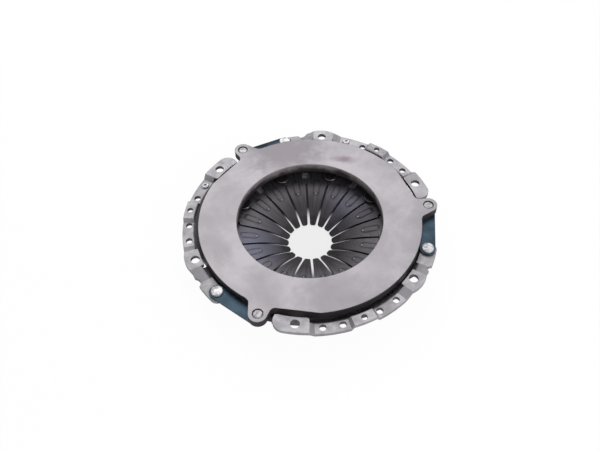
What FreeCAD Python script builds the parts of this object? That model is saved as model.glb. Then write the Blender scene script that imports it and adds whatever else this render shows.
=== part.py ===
# Push-type diaphragm clutch cover assembly, 9 inch class, in its free state.
# The origin is the centre of the bolt circle, on the face of the bolt pads that meets the
# flywheel. +Z points at the flywheel, and +X runs through the middle of the first lug.
# All lengths are in millimetres and all angles in degrees, anticlockwise seen from +Z.
import FreeCAD
import Part
import math
import os

# Arms: each has one lug, one strap pack, one strap rivet and one stretch of flange
arm_count = 3

# Friction ring
face_radius = 115.0
face_width = 39.6
face_level = 4.4
ring_thickness = 12.4
face_rounding = 0.6
rim_depth = 8.9
rim_taper = 3.5
bore_chamfer = 1.5
ridge_inset = 2.5
ridge_height = 4.25
ridge_top_width = 3.0
ridge_base_width = 7.0
ridge_rounding = 1.4
relief_depth = 3.1
relief_angle = 15.0

# Lugs of the friction ring
lug_reach = 9.4
lug_tip_radius = 9.1
lug_thickness = 8.6
lug_flare = 24.0
lug_fillet = 5.5
lug_rivet_radius = 3.2
lug_rivet_head_radius = 5.1
lug_rivet_head_height = 2.1
lug_rivet_head_rounding = 1.6
lug_recess_radius = 5.4
lug_recess_depth = 2.6
lug_closing_radius = 5.2
lug_closing_height = 2.0

# Drive straps
strap_leaf_count = 3
strap_leaf_thickness = 0.8
strap_half_width = 7.75
strap_rivet_reach = 8.2
strap_rivet_lag = 23.7
strap_rivet_radius = 3.5
strap_rivet_head_radius = 6.15
strap_rivet_head_height = 2.2
strap_rivet_head_rounding = 0.8
strap_closing_radius = 5.4
strap_closing_height = 2.2
strap_side_gap = 1.2
strap_swing = 3.2
strap_relief_end = 11.5

# Diaphragm spring
spring_rim_inset = 8.0
spring_tip_radius = 23.0
spring_thickness = 2.5
spring_cone_angle = 11.3
finger_bend_start = 62.0
finger_bend_end = 31.0
finger_bend_radius = 106.0
finger_count = 18
finger_phase = -3.9
slot_root_width = 1.9
slot_tip_width = 2.5
finger_corner = 1.8
window_length = 7.8
window_width = 8.6
window_corner = 2.2
bead_width = 6.4
bead_height = 0.8
bead_length = 18.2
bead_setback = 1.9
bead_corner = 1.5

# Fulcrum: wire ring under the spring, stepped pins above it
pin_inset = 27.5
pin_phase = 26.1
pin_count = 9
pin_shank_radius = 3.75
pin_head_radius = 7.6
pin_head_thickness = 2.0
pin_head_chamfer = 0.6
pin_inner_slope = 0.147
pin_outer_slope = 0.25
pin_tenon_radius = 3.25
pin_closing_radius = 5.4
pin_closing_height = 2.2
wire_radius = 1.6
wire_split = 3.0

# Cover
sheet = 4.0
floor_edge = 8.3
floor_corner = 6.0
flank_clearance = 0.6
flank_angle = 35.8
flange_edge = 8.0
flange_drop = 4.1
bend = 1.5
bend_rounding = 2.0
pad_1_clearance = 1.6
pad_1_edge = 9.0
pad_1_outer_corner = 11.0
pad_2_clearance = 3.0
pad_2_edge = 10.4
pad_2_bulge_radius = 30.0
pad_inner_corner = 2.5
seat_clearance = 1.6
seat_edge = 8.3
seat_outer_corner = 7.5
seat_notch_radius = 5.0
seat_notch_depth = 3.3
wall_clearing = 12.5

# Where each stretch of flange starts and ends, from the middle of the lug before it
pad_1_start = 6.4
pad_1_end = 22.6
low_1_start = 24.8
low_1_end = 39.7
dowel_pad_start = 41.0
dowel_pad_end = 51.1
low_2_start = 52.4
low_2_end = 66.6
pad_2_start = 70.6
pad_2_end = 80.8
seat_start = 87.4
seat_reach = 4.1

# Flange holes
bolt_clearance = 9.0
bolt_hole_radius = 4.6
bolt_angles = (16.4, 76.4)
bolt_tool_radius = 9.6
dowel_offset = 2.7
dowel_hole_radius = 3.1
dowel_angle = 46.2
balance_offset = 1.5
balance_hole_radius = 3.4
balance_angles = (28.2, 36.9, 54.2, 63.4)
rivet_tool_radius = 6.4
notch_angle = 86.4

# Balance rivets: (arm, hole in balance_angles)
balance_rivet_places = ((1, 0), (0, 3))
balance_rivet_head_radius = 4.25
balance_rivet_head_height = 1.8
balance_rivet_tail = 0.8
balance_rivet_dimple_radius = 1.7
balance_rivet_dimple_depth = 1.2

# Clearances, and how far a cutting shape runs past what it cuts
seat_gap = 0.05
hole_gap = 0.05
contact_gap = 0.25
overrun = 1.0
through = 60.0

# Levels and places that follow from the sizes above
arm_pitch = 360.0 / arm_count
bore_radius = face_radius - face_width
spring_rim_radius = face_radius - spring_rim_inset
ridge_radius = spring_rim_radius - ridge_inset
lug_circle_radius = face_radius + lug_reach
strap_rivet_circle_radius = face_radius + strap_rivet_reach
bolt_circle_radius = face_radius + bolt_clearance
dowel_circle_radius = bolt_circle_radius + dowel_offset
balance_circle_radius = bolt_circle_radius + balance_offset
pin_circle_radius = spring_rim_radius - pin_inset
window_inner_radius = pin_circle_radius - window_length / 2
window_outer_radius = pin_circle_radius + window_length / 2
bead_outer_radius = window_inner_radius - bead_setback
bead_inner_radius = bead_outer_radius - bead_length
floor_bore_radius = pin_circle_radius - floor_edge
flank_foot_radius = spring_rim_radius + flank_clearance
flange_radius = bolt_circle_radius + flange_edge
pad_1_inner = face_radius + pad_1_clearance
pad_1_outer = bolt_circle_radius + pad_1_edge
pad_2_inner = face_radius + pad_2_clearance
pad_2_outer = bolt_circle_radius + pad_2_edge
seat_inner = face_radius + seat_clearance
seat_outer = bolt_circle_radius + seat_edge
seat_end = arm_pitch - strap_rivet_lag + seat_reach
ring_back = face_level - ring_thickness
ridge_crest = ring_back - ridge_height
lug_underside = face_level - lug_thickness
recess_level = face_level - lug_recess_depth
seat_level = lug_underside - strap_leaf_count * strap_leaf_thickness
low_level = -flange_drop
clearing_level = -wall_clearing
cone_slope = math.tan(math.radians(spring_cone_angle))
flank_slope = math.tan(math.radians(flank_angle))
wire_circle_radius = pin_circle_radius + pin_shank_radius + wire_radius + seat_gap
Z = FreeCAD.Vector(0, 0, 1)
CENTRE = FreeCAD.Vector(0, 0, 0)


# Helpers

def point(radius, angle, level=0.0):
    """A point given by its distance from the axis, its angle and its level."""
    turn = math.radians(angle)
    return FreeCAD.Vector(radius * math.cos(turn), radius * math.sin(turn), level)


def turned(shape, angle):
    """A copy of the shape, turned about the clutch's axis."""
    copy = shape.copy()
    copy.rotate(CENTRE, Z, angle)
    return copy


def around(shape, count, first=0.0):
    """Copies of a shape that stands at angle 0, spread evenly round the axis."""
    return [turned(shape, first + number * 360.0 / count) for number in range(count)]


def rod(radius, low, high, place):
    """An upright cylinder over the point `place`, between two levels."""
    base = FreeCAD.Vector(place.x, place.y, low)
    return Part.makeCylinder(radius, high - low, base, Z)


def rounded_wire(corners):
    """A closed wire through corners of (point, rounding)."""
    edges = []
    ends = []
    for number, (corner, radius) in enumerate(corners):
        if radius == 0:
            ends.append((corner, corner))
            continue
        back = (corners[number - 1][0] - corner).normalize()
        ahead = (corners[(number + 1) % len(corners)][0] - corner).normalize()
        half = back.getAngle(ahead) / 2
        start = corner + back * (radius / math.tan(half))
        finish = corner + ahead * (radius / math.tan(half))
        inward = (back + ahead).normalize()
        middle = corner + inward * (radius / math.sin(half) - radius)
        edges.append(Part.Arc(start, middle, finish).toShape())
        ends.append((start, finish))
    for number, (_, leaving) in enumerate(ends):
        arriving = ends[(number + 1) % len(ends)][0]
        edges.append(Part.makeLine(leaving, arriving))
    return Part.Wire(Part.__sortEdges__(edges))


def section_wire(corners):
    """A closed wire in the plane through the axis, from (radius, level, rounding)."""
    return rounded_wire([(FreeCAD.Vector(r, 0, z), f) for r, z, f in corners])


def revolved(corners, start=0.0, end=360.0):
    """A solid of revolution of a section, whole or between two angles."""
    solid = Part.Face(section_wire(corners)).revolve(CENTRE, Z, end - start)
    return turned(solid, start)


def sector(inner, outer, low, high, start, end):
    """A flat piece of ring between two radii, two levels and two angles."""
    corners = [(inner, low, 0), (outer, low, 0), (outer, high, 0), (inner, high, 0)]
    return revolved(corners, start, end)


def prism(corners, low, high):
    """An upright solid from a plan outline of (x, y, rounding)."""
    outline = rounded_wire([(FreeCAD.Vector(x, y, low), f) for x, y, f in corners])
    return Part.Face(outline).extrude(Z * (high - low))


def joined(first, *others):
    """One solid from several that touch or overlap."""
    return first.fuse(list(others)).removeSplitter()


def upright_edges(shape, places):
    """The upright edges of a shape that stand over any of the given points."""
    found = []
    for edge in shape.Edges:
        box = edge.BoundBox
        foot = FreeCAD.Vector(box.Center.x, box.Center.y, 0)
        upright = box.XLength < 0.01 and box.YLength < 0.01
        if upright and any(foot.distanceToPoint(place) < 0.01 for place in places):
            found.append(edge)
    return found


def outline_at(shape, level):
    """The edges of a shape that lie flat at a level."""
    found = []
    for edge in shape.Edges:
        if abs(edge.BoundBox.ZMin - level) < 0.01 and abs(edge.BoundBox.ZMax - level) < 0.01:
            found.append(edge)
    return found


# Diaphragm spring

def cone_top(radius):
    """Level of the spring's upper surface on its straight cone."""
    return ridge_crest - contact_gap - (ridge_radius - radius) * cone_slope


def spring_section():
    """The spring's section: a straight cone, a bend down to the tips and straight tips."""
    start = math.radians(spring_cone_angle)
    reach = (finger_bend_start - finger_bend_end) / finger_bend_radius
    finish = math.asin(math.sin(start) + reach)
    middle = (start + finish) / 2
    bend_top = FreeCAD.Vector(finger_bend_start, 0, cone_top(finger_bend_start))
    down = FreeCAD.Vector(math.sin(start), 0, -math.cos(start))
    centre = bend_top + down * finger_bend_radius

    def on_bend(angle, depth):
        outward = FreeCAD.Vector(-math.sin(angle), 0, math.cos(angle))
        return centre + outward * (finger_bend_radius - depth)

    def tip(depth):
        foot = on_bend(finish, depth)
        run = foot.x - spring_tip_radius - depth * math.sin(finish)
        return foot + FreeCAD.Vector(-1, 0, -math.tan(finish)) * run

    rim_top = FreeCAD.Vector(spring_rim_radius, 0, cone_top(spring_rim_radius))
    rim_low = rim_top + down * spring_thickness
    depth = spring_thickness
    edges = [
        Part.makeLine(rim_top, bend_top),
        Part.Arc(bend_top, on_bend(middle, 0), on_bend(finish, 0)).toShape(),
        Part.makeLine(on_bend(finish, 0), tip(0)),
        Part.makeLine(tip(0), tip(depth)),
        Part.makeLine(tip(depth), on_bend(finish, depth)),
        Part.Arc(on_bend(finish, depth), on_bend(middle, depth), on_bend(start, depth)).toShape(),
        Part.makeLine(on_bend(start, depth), rim_low),
        Part.makeLine(rim_low, rim_top),
    ]
    return Part.Face(Part.Wire(edges))


def slot_cutter():
    """One slot at angle 0, which opens into the rounded corners of two fingertips."""
    root = slot_root_width / 2
    tip = slot_tip_width / 2
    mouth = spring_tip_radius + finger_corner
    wide = tip + finger_corner
    inside = spring_tip_radius - finger_corner
    root_end = window_inner_radius + window_corner
    turn = math.sqrt(0.5) * finger_corner
    edges = [
        Part.makeLine(FreeCAD.Vector(root_end, -root, -through),
                      FreeCAD.Vector(root_end, root, -through)),
        Part.makeLine(FreeCAD.Vector(inside, wide, -through),
                      FreeCAD.Vector(inside, -wide, -through)),
    ]
    for side in (1, -1):
        mouth_point = FreeCAD.Vector(mouth, side * tip, -through)
        corner_point = FreeCAD.Vector(mouth - turn, side * (wide - turn), -through)
        tip_point = FreeCAD.Vector(spring_tip_radius, side * wide, -through)
        edges.append(Part.makeLine(FreeCAD.Vector(root_end, side * root, -through), mouth_point))
        edges.append(Part.Arc(mouth_point, corner_point, tip_point).toShape())
        edges.append(Part.makeLine(tip_point, FreeCAD.Vector(inside, side * wide, -through)))
    outline = Part.Wire(Part.__sortEdges__(edges))
    return Part.Face(outline).extrude(Z * through)


def window_cutter():
    """One rounded window at the root of a slot, at angle 0."""
    half = window_width / 2
    return prism([
        (window_inner_radius, -half, window_corner),
        (window_outer_radius, -half, window_corner),
        (window_outer_radius, half, window_corner),
        (window_inner_radius, half, window_corner),
    ], -through, 0)


def bead():
    """One raised bead along the root of a finger, at angle 0, with a round inner end."""
    half = bead_width / 2
    nose = bead_inner_radius + half
    column = prism([
        (nose, -half, 0),
        (bead_outer_radius, -half, bead_corner),
        (bead_outer_radius, half, bead_corner),
        (nose, half, 0),
    ], -through, 0)
    column = column.fuse(rod(half, -through, 0, point(nose, 0)))
    skin = spring_section().revolve(CENTRE, Z, 360)
    skin.translate(Z * bead_height)
    return column.common(skin)


def diaphragm_spring():
    """The whole spring: one coned plate with fingers, windows and raised beads."""
    plate = spring_section().revolve(CENTRE, Z, 360)
    slot_phase = finger_phase + 180.0 / finger_count
    plate = plate.fuse(around(bead(), finger_count, finger_phase))
    cutters = around(slot_cutter(), finger_count, slot_phase)
    cutters += around(window_cutter(), finger_count, slot_phase)
    return plate.cut(cutters)


# Fulcrum

def wire_level():
    """Level of the fulcrum wire's centre, under the spring."""
    drop = (spring_thickness + seat_gap + wire_radius) / math.cos(math.radians(spring_cone_angle))
    return cone_top(wire_circle_radius) - drop


def floor_level():
    """Level of the cover's floor, which the fulcrum wire lies on."""
    return wire_level() - wire_radius - seat_gap


def fulcrum_wire():
    """The split wire ring between the cover's floor and the spring."""
    centre = FreeCAD.Vector(wire_circle_radius, 0, wire_level())
    circle = Part.makeCircle(wire_radius, centre, FreeCAD.Vector(0, 1, 0))
    split = math.degrees(wire_split / wire_circle_radius)
    ring = Part.Face(Part.Wire(circle)).revolve(CENTRE, Z, 360 - split)
    return turned(ring, split / 2)


def pin_underside():
    """A cutter for the pin head's underside: a blunt ridge right over the fulcrum wire."""
    contact = cone_top(wire_circle_radius) + seat_gap
    inner = pin_circle_radius - pin_head_radius - overrun
    outer = pin_circle_radius + pin_head_radius + overrun
    side = -2 * pin_head_radius
    inner_level = contact - (wire_circle_radius - inner) * pin_inner_slope
    outer_level = contact + (outer - wire_circle_radius) * pin_outer_slope
    corners = [
        FreeCAD.Vector(inner, side, -through),
        FreeCAD.Vector(outer, side, -through),
        FreeCAD.Vector(outer, side, outer_level),
        FreeCAD.Vector(wire_circle_radius, side, contact),
        FreeCAD.Vector(inner, side, inner_level),
    ]
    outline = Part.makePolygon(corners + corners[:1])
    return Part.Face(outline).extrude(FreeCAD.Vector(0, -2 * side, 0))


def fulcrum_pin():
    """One stepped pin at angle 0, with its head over the spring and its end riveted over."""
    place = point(pin_circle_radius, 0)
    head_top = cone_top(wire_circle_radius) + seat_gap + pin_head_thickness
    back = floor_level() - sheet
    head = rod(pin_head_radius, head_top - 3 * pin_head_thickness, head_top, place)
    head = head.makeChamfer(pin_head_chamfer, outline_at(head, head_top))
    head = head.cut(pin_underside())
    shank = rod(pin_shank_radius, floor_level(), head_top - pin_head_chamfer, place)
    tenon = rod(pin_tenon_radius, back - overrun, floor_level() + overrun, place)
    closing_low = back - pin_closing_height
    closing = rod(pin_closing_radius, closing_low, back, place)
    closing = closing.makeChamfer(pin_closing_height / 2, outline_at(closing, closing_low))
    return joined(head, shank, tenon, closing)


# Friction ring

def lug():
    """One lug at angle 0, square to the ring on one side and flared on the strap's side."""
    root = ridge_radius
    flare = math.radians(lug_flare)
    outward = FreeCAD.Vector(math.cos(flare), math.sin(flare), 0)
    centre = FreeCAD.Vector(lug_circle_radius, 0, lug_underside)
    flank = centre + FreeCAD.Vector(math.sin(flare), -math.cos(flare), 0) * lug_tip_radius
    tip = centre + FreeCAD.Vector(lug_tip_radius, 0, 0)
    side = centre + FreeCAD.Vector(0, lug_tip_radius, 0)
    foot = flank - outward * ((flank.x - root) / math.cos(flare))
    near = FreeCAD.Vector(root, lug_tip_radius, lug_underside)
    edges = [
        Part.makeLine(near, side),
        Part.Arc(side, tip, flank).toShape(),
        Part.makeLine(flank, foot),
        Part.makeLine(foot, near),
    ]
    return Part.Face(Part.Wire(edges)).extrude(Z * lug_thickness)


def lug_fillet_piece(corner, along_ring, along_lug):
    """Metal that rounds one hollow corner between a lug and the ring, from its two directions."""
    half = along_ring.getAngle(along_lug) / 2
    reach = lug_fillet / math.tan(half)
    inward = (along_ring + along_lug).normalize()
    middle = corner + inward * (lug_fillet / math.sin(half) - lug_fillet)
    start = corner + along_ring * reach
    finish = corner + along_lug * reach
    behind = corner - inward * lug_fillet
    edges = [
        Part.Arc(start, middle, finish).toShape(),
        Part.makeLine(finish, behind),
        Part.makeLine(behind, start),
    ]
    return Part.Face(Part.Wire(edges)).extrude(Z * lug_thickness)


def lug_fillet_pieces():
    """The rounded metal on both sides of the lug at angle 0."""
    turn = math.radians(relief_angle)
    relief_distance = face_radius - relief_depth
    relief_x = (relief_distance - lug_tip_radius * math.sin(turn)) / math.cos(turn)
    pad_corner = FreeCAD.Vector(relief_x, lug_tip_radius, lug_underside)
    along_relief = FreeCAD.Vector(-math.sin(turn), math.cos(turn), 0)
    pad_piece = lug_fillet_piece(pad_corner, along_relief, FreeCAD.Vector(1, 0, 0))
    flare = math.radians(lug_flare)
    outward = FreeCAD.Vector(math.cos(flare), math.sin(flare), 0)
    flank = FreeCAD.Vector(lug_circle_radius + lug_tip_radius * math.sin(flare),
                           -lug_tip_radius * math.cos(flare), lug_underside)
    slant = flank.x * outward.x + flank.y * outward.y
    across = math.hypot(flank.x, flank.y) ** 2 - slant ** 2
    run = slant - math.sqrt(face_radius ** 2 - across)
    strap_corner = flank - outward * run
    turn = math.atan2(strap_corner.y, strap_corner.x)
    along_ring = FreeCAD.Vector(math.sin(turn), -math.cos(turn), 0)
    strap_piece = lug_fillet_piece(strap_corner, along_ring, outward)
    return [pad_piece, strap_piece]


def half_space(distance, angle, low, high, start, end):
    """A block outside a line at a distance from the axis, between two places along it."""
    size = face_radius / 2
    block = Part.makeBox(size, end - start, high - low, FreeCAD.Vector(distance, start, low))
    return turned(block, angle)


def strap_line():
    """Distance and angle of the strap pack's middle line, from its nearest point to the axis."""
    near = point(lug_circle_radius, 0)
    far = point(strap_rivet_circle_radius, -strap_rivet_lag)
    along = (far - near).normalize()
    foot = near - along * near.dot(along)
    return foot.Length, math.degrees(math.atan2(foot.y, foot.x))


def strap_reliefs():
    """Room in the ring's outer wall for the strap pack of the lug at angle 0."""
    distance, angle = strap_line()
    distance -= strap_half_width + strap_side_gap
    reach = math.sqrt(face_radius ** 2 - distance ** 2)
    lug_end = -distance * math.tan(math.radians(strap_relief_end + angle))
    under = half_space(distance, angle, ring_back - overrun, lug_underside, -reach, reach)
    beside = half_space(distance, angle, ring_back - overrun, lug_underside + strap_swing,
                        -reach, lug_end)
    return [under, beside]


def pressure_ring():
    """The cast ring: friction face, lugs, reliefs and the ridge that the spring pushes."""
    ring = revolved([
        (bore_radius, face_level, face_rounding),
        (face_radius, face_level, face_rounding),
        (face_radius, face_level - rim_depth, 0),
        (face_radius - rim_taper, ring_back, 0),
        (ridge_radius + ridge_base_width / 2, ring_back, 0),
        (ridge_radius + ridge_top_width / 2, ridge_crest, ridge_rounding),
        (ridge_radius - ridge_top_width / 2, ridge_crest, ridge_rounding),
        (ridge_radius - ridge_base_width / 2, ring_back, 0),
        (bore_radius + bore_chamfer, ring_back, 0),
        (bore_radius, ring_back + bore_chamfer, 0),
    ])
    relief = half_space(face_radius - relief_depth, 0, ridge_crest - overrun,
                        face_level + overrun, -face_radius / 2, face_radius / 2)
    ring = ring.cut(around(relief, arm_count, relief_angle))
    pieces = around(lug(), arm_count)
    for piece in lug_fillet_pieces():
        pieces += around(piece, arm_count)
    ring = ring.fuse(pieces).removeSplitter()
    place = point(lug_circle_radius, 0)
    hole = rod(lug_rivet_radius + hole_gap, lug_underside - overrun, face_level, place)
    recess = rod(lug_recess_radius, recess_level, face_level + overrun, place)
    cutters = around(hole, arm_count) + around(recess, arm_count)
    for block in strap_reliefs():
        cutters += around(block, arm_count)
    return ring.cut(cutters)


# Rivets

def rivet(place, head_low, head_radius, head_height, head_rounding, shank_radius,
          closing_high, closing_radius, closing_height):
    """A set rivet: a head with a rounded rim, a shank and a chamfered closing head."""
    head_high = head_low + head_height
    head = rod(head_radius, head_low, head_high, place)
    head = head.makeFillet(head_rounding, outline_at(head, head_high))
    shank = rod(shank_radius, closing_high - overrun, head_low + overrun, place)
    closing_low = closing_high - closing_height
    closing = rod(closing_radius, closing_low, closing_high, place)
    closing = closing.makeChamfer(closing_height / 2, outline_at(closing, closing_low))
    return joined(head, shank, closing)


def lug_rivet():
    """The rivet that holds a strap pack under a lug, at angle 0."""
    return rivet(point(lug_circle_radius, 0), recess_level, lug_rivet_head_radius,
                 lug_rivet_head_height, lug_rivet_head_rounding, lug_rivet_radius, seat_level,
                 lug_closing_radius, lug_closing_height)


def strap_rivet():
    """The rivet that holds the other end of the same strap pack on the cover."""
    return rivet(point(strap_rivet_circle_radius, -strap_rivet_lag), lug_underside,
                 strap_rivet_head_radius, strap_rivet_head_height, strap_rivet_head_rounding,
                 strap_rivet_radius, seat_level - sheet, strap_closing_radius,
                 strap_closing_height)


def balance_rivet(arm, hole):
    """A tubular rivet in one of the flange's small holes, which balances the clutch."""
    place = point(balance_circle_radius, arm * arm_pitch + balance_angles[hole])
    crown = low_level + balance_rivet_head_height
    head = rod(balance_rivet_head_radius, low_level, crown, place)
    head = head.makeFillet(balance_rivet_head_height * 0.7, outline_at(head, crown))
    tail = low_level - sheet - balance_rivet_tail
    shank = rod(balance_hole_radius - hole_gap, tail, low_level + overrun, place)
    dimple = rod(balance_rivet_dimple_radius, crown - balance_rivet_dimple_depth,
                 crown + overrun, place)
    return joined(head, shank).cut(dimple)


# Straps

def strap_leaf(number):
    """One leaf of a strap pack: a flat strip with round ends and two rivet holes."""
    high = lug_underside - number * strap_leaf_thickness
    low = high - strap_leaf_thickness
    near = point(lug_circle_radius, 0, low)
    far = point(strap_rivet_circle_radius, -strap_rivet_lag, low)
    along = (far - near).normalize() * strap_half_width
    across = FreeCAD.Vector(-along.y, along.x, 0)
    edges = [
        Part.makeLine(near + across, far + across),
        Part.Arc(far + across, far + along, far - across).toShape(),
        Part.makeLine(far - across, near - across),
        Part.Arc(near - across, near - along, near + across).toShape(),
    ]
    strip = Part.Face(Part.Wire(edges)).extrude(Z * strap_leaf_thickness)
    lug_hole = rod(lug_rivet_radius + hole_gap, low - overrun, high + overrun, near)
    cover_hole = rod(strap_rivet_radius + hole_gap, low - overrun, high + overrun, far)
    return strip.cut([lug_hole, cover_hole])


# Cover

def flank_inside(level):
    """Radius of the flank's inner face at a level."""
    return flank_foot_radius + (level - floor_level()) * flank_slope


def flank_outside(level):
    """Radius of the flank's outer face at a level."""
    return flank_inside(level) + sheet / math.cos(math.radians(flank_angle))


def bowl():
    """Floor and lower flank of the cover, a full turn."""
    floor = floor_level()
    back = floor - sheet
    return revolved([
        (floor_bore_radius, floor, 0),
        (flank_inside(floor), floor, floor_corner),
        (flank_inside(clearing_level), clearing_level, 0),
        (flank_outside(clearing_level), clearing_level, 0),
        (flank_outside(back), back, floor_corner + sheet),
        (floor_bore_radius, back, 0),
    ])


def stretch_corners(top, outer):
    """Section of the upper flank with its flange, whose upper face is at level `top`."""
    knee = min(low_level, top - bend)
    under = top - sheet
    riser_outside = flank_inside(low_level) + sheet
    return [
        (flank_inside(clearing_level), clearing_level, 0),
        (flank_inside(knee), knee, 0),
        (flank_inside(min(low_level, top)), top, bend_rounding),
        (outer, top, 0),
        (outer, under, 0),
        (min(riser_outside, flank_outside(under)), under, 0),
        (min(riser_outside, flank_outside(under - bend)), under - bend, 0),
        (flank_outside(clearing_level), clearing_level, 0),
    ]


def stretch(top, outer, start, end):
    """A stretch of upper flank and flange between two angles."""
    return revolved(stretch_corners(top, outer), start, end)


def ramp(from_top, from_outer, start, to_top, to_outer, end):
    """The bend of the flange from one level to another, between two angles."""
    first = turned(section_wire(stretch_corners(from_top, from_outer)), start)
    second = turned(section_wire(stretch_corners(to_top, to_outer)), end)
    return Part.makeLoft([first, second], True, True)


def pad(top, inner, outer, start, end, rounded):
    """A pad's plate on its riser, with roundings at some corners: (radius, angle, rounding)."""
    plate = sector(inner, outer, top - sheet, top, start, end)
    for radius, angle, rounding in rounded:
        plate = plate.makeFillet(rounding, upright_edges(plate, [point(radius, angle)]))
    riser = stretch(top, flank_inside(low_level) + sheet + overrun, start, end)
    below = sector(floor_bore_radius, outer, -through, top - sheet / 2, start, end)
    return joined(plate, riser.common(below))


def bulge(shape):
    """The same piece of flange, trimmed to the rounded bulge of the second pad."""
    centre = point(pad_2_outer - pad_2_bulge_radius, bolt_angles[1])
    outline = rod(flange_radius, -through, overrun, CENTRE)
    outline = outline.fuse(rod(pad_2_bulge_radius, -through, overrun, centre))
    return shape.common(outline)


def arm():
    """One arm's stretch of flange, from its free end at pad 1 to its strap seat."""
    outer = flange_radius
    wide = pad_2_outer + overrun
    rounded_1 = [
        (pad_1_outer, pad_1_start, pad_1_outer_corner),
        (pad_1_inner, pad_1_start, pad_inner_corner),
        (pad_1_inner, pad_1_end, pad_inner_corner),
    ]
    rounded_2 = [
        (pad_2_inner, pad_2_start, pad_inner_corner / 2),
        (pad_2_inner, pad_2_end, pad_inner_corner / 2),
    ]
    rounded_seat = [
        (seat_outer, seat_end, seat_outer_corner),
        (seat_inner, seat_end, pad_inner_corner),
    ]
    return [
        pad(0, pad_1_inner, pad_1_outer, pad_1_start, pad_1_end, rounded_1),
        ramp(0, pad_1_outer, pad_1_end, low_level, outer, low_1_start),
        stretch(low_level, outer, low_1_start, low_1_end),
        ramp(low_level, outer, low_1_end, 0, outer, dowel_pad_start),
        stretch(0, outer, dowel_pad_start, dowel_pad_end),
        ramp(0, outer, dowel_pad_end, low_level, outer, low_2_start),
        stretch(low_level, outer, low_2_start, low_2_end),
        bulge(ramp(low_level, wide, low_2_end, 0, wide, pad_2_start)),
        bulge(pad(0, pad_2_inner, wide, pad_2_start, pad_2_end, rounded_2)),
        bulge(ramp(0, wide, pad_2_end, seat_level, wide, seat_start)),
        pad(seat_level, seat_inner, seat_outer, seat_start, seat_end, rounded_seat),
    ]


def arm_cutters():
    """All the holes of one arm's flange, and the room for tools under them."""
    cutters = []
    for angle in bolt_angles:
        place = point(bolt_circle_radius, angle)
        cutters.append(rod(bolt_hole_radius, -through, overrun, place))
        cutters.append(rod(bolt_tool_radius, -through, -sheet, place))
    for angle in balance_angles:
        place = point(balance_circle_radius, angle)
        cutters.append(rod(balance_hole_radius, -through, overrun, place))
    cutters.append(rod(dowel_hole_radius, -through, overrun, point(dowel_circle_radius, dowel_angle)))
    notch_place = point(seat_outer + seat_notch_radius - seat_notch_depth, notch_angle)
    cutters.append(rod(seat_notch_radius, -through, overrun, notch_place))
    rivet_place = point(strap_rivet_circle_radius, arm_pitch - strap_rivet_lag)
    cutters.append(rod(strap_rivet_radius + hole_gap, -through, overrun, rivet_place))
    cutters.append(rod(rivet_tool_radius, -through, seat_level - sheet, rivet_place))
    return cutters


def cover():
    """The pressed steel cover, with its three flanged arms and all its holes."""
    stretches = []
    for piece in arm():
        stretches += around(piece, arm_count)
    shell = bowl().fuse(stretches).removeSplitter()
    tenon_hole = rod(pin_tenon_radius + hole_gap, -through, 0, point(pin_circle_radius, 0))
    cutters = around(tenon_hole, pin_count, pin_phase)
    for cutter in arm_cutters():
        cutters += around(cutter, arm_count)
    return shell.cut(cutters)


def write(name, shape):
    """Saves one named piece."""
    shape.exportStep("parts/" + name + ".step")


os.makedirs("parts", exist_ok=True)
write("cover", cover())
write("pressure_ring", pressure_ring())
write("diaphragm_spring", diaphragm_spring())
write("fulcrum_wire", fulcrum_wire())
for number in range(pin_count):
    pin_angle = pin_phase + number * 360.0 / pin_count
    write("fulcrum_pin_" + str(number + 1), turned(fulcrum_pin(), pin_angle))
for number in range(arm_count):
    arm_name = "_" + str(number + 1)
    write("strap_cover_rivet" + arm_name, turned(strap_rivet(), number * arm_pitch))
    write("strap_lug_rivet" + arm_name, turned(lug_rivet(), number * arm_pitch))
    for leaf in range(strap_leaf_count):
        leaf_name = "strap" + arm_name + "_leaf_" + str(leaf + 1)
        write(leaf_name, turned(strap_leaf(leaf), number * arm_pitch))
for number, (arm_number, hole_number) in enumerate(balance_rivet_places):
    write("balance_rivet_" + str(number + 1), balance_rivet(arm_number, hole_number))
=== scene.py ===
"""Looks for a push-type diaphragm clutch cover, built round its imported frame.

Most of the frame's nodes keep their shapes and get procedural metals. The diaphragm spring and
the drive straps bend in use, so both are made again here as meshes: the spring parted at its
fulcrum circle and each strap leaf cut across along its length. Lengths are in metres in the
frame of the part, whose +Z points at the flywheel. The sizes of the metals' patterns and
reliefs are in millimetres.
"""

import logging
import math
from dataclasses import dataclass
from enum import Enum
from typing import Callable, Dict, List, Optional, Tuple, Union

import bmesh
import bpy
from mathutils import Matrix, Vector

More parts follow.
